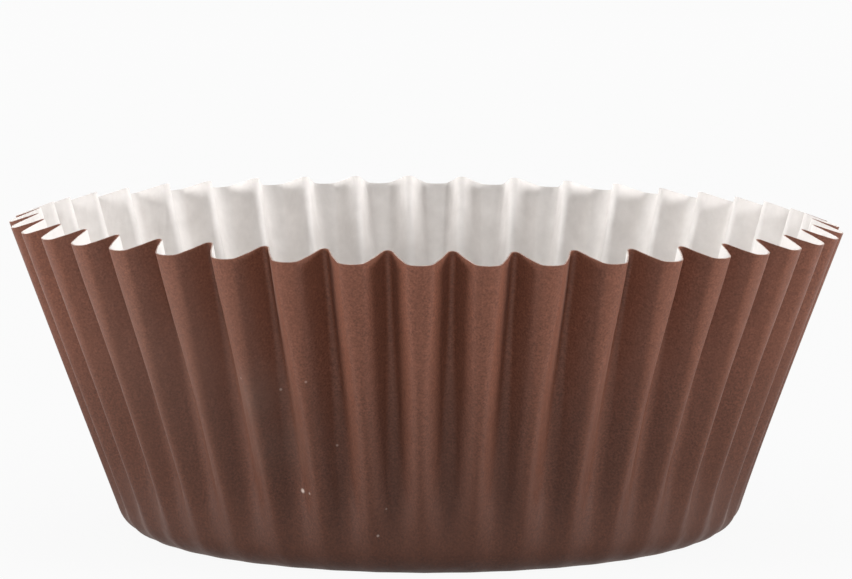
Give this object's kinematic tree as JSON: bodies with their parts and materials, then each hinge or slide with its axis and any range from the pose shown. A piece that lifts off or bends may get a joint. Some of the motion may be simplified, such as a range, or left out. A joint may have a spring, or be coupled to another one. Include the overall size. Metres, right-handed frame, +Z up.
{
  "type": "cupcake liner",
  "caption": "Pressed paper baking cup with a flat round base and a fluted, outward-leaning wall, open at the top.",
  "frame": {"origin": "middle of the flat base's underside, where the liner rests", "axes": "+Z up along the cup's axis to the open rim; -Y, the front, through the middle of a crest and +X through a groove"},
  "size_m": [0.076, 0.0762, 0.0291],
  "materials": {
    "liner": "satin greaseproof paper, brown outside and white inside"
  },
  "bodies": {
    "root": {"liner": "liner"}
  },
  "joints": []
}
